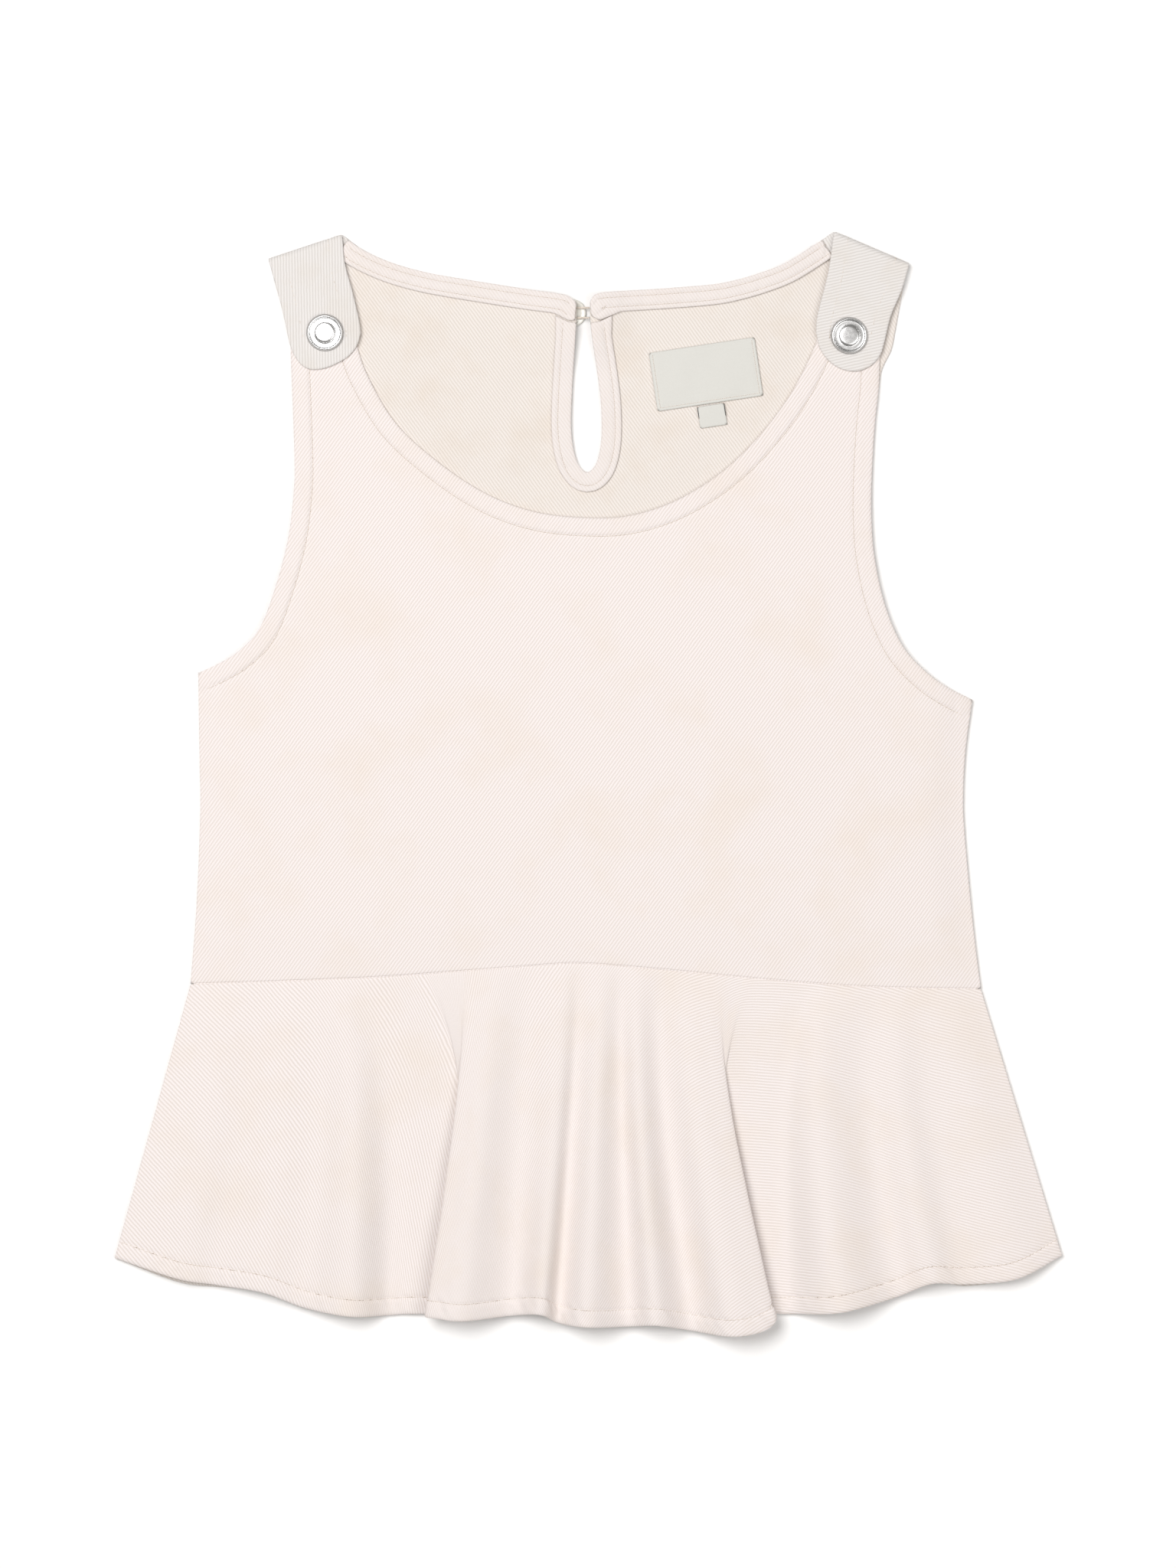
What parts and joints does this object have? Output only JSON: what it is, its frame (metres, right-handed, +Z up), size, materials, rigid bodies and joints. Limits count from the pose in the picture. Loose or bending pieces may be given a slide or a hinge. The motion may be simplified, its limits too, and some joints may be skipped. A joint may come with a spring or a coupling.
{
  "type": "sleeveless peplum top",
  "caption": "Child's sleeveless twill top laid flat: scoop neck, keyhole back, straps snapped to the front, fluted peplum hem.",
  "frame": {"origin": "middle of the top's outline as laid, on the surface that it lies on", "axes": "+X to the right as the picture shows it, +Y from hem to neck, +Z up off the surface"},
  "size_m": [0.4456, 0.519, 0.0166],
  "materials": {
    "twill": "heavy undyed cotton twill, outside",
    "twill_inside": "heavy undyed cotton twill, inside",
    "label_cloth": "woven satin label, bare",
    "steel": "satin nickel",
    "button_resin": "pale pearl resin",
    "cord_cloth": "thin twisted cotton cord"
  },
  "bodies": {
    "root": {"back_bodice": "twill_inside", "front_bodice": "twill", "back_peplum": "twill_inside", "front_peplum": "twill", "strap_left": "twill", "strap_right": "twill", "neck_strip_left": "twill_inside", "neck_strip_right": "twill_inside", "keyhole_facing": "twill_inside", "label": "label_cloth", "size_tab": "label_cloth", "snap_cap_left": "steel", "snap_cap_right": "steel", "back_button": "button_resin", "button_loop": "cord_cloth"}
  },
  "joints": []
}
